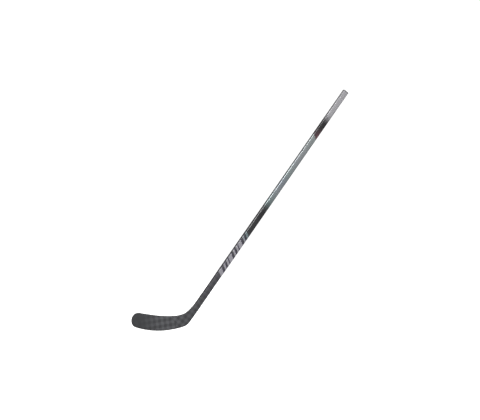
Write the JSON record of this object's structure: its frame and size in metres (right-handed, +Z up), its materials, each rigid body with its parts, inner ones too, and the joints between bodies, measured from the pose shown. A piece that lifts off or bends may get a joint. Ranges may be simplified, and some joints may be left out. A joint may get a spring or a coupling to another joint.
{
  "type": "ice hockey stick",
  "caption": "Right-handed ice hockey stick of carbon composite: a straight rounded rectangular tube shaft with a butt plug, and a curved, rockered blade on a bonded hosel.",
  "frame": {"origin": "the point where the sole touches the ice, in the middle plane of the shaft", "axes": "+X from the toe towards the shaft, +Z up from the ice, -Y the way the forehand face looks; the shaft leans towards +X at 53.3 degrees to the ice"},
  "size_m": [1.1397, 0.0343, 1.184],
  "materials": {
    "painted_laminate": "satin",
    "bare_laminate": "matte",
    "inner_laminate": "matte",
    "epoxy": "gloss",
    "foam": "matte",
    "plug_plastic": "satin"
  },
  "bodies": {
    "root": {"shaft_tube": "painted_laminate", "butt_plug": "plug_plastic", "tenon": "inner_laminate", "tenon_adhesive": "epoxy", "blade_forehand_skin": "bare_laminate", "blade_backhand_skin": "bare_laminate", "hosel_core": "foam", "heel_rib": "inner_laminate", "blade_bridge": "inner_laminate", "lower_core": "foam", "upper_core": "foam", "toe_core": "foam"}
  },
  "joints": []
}
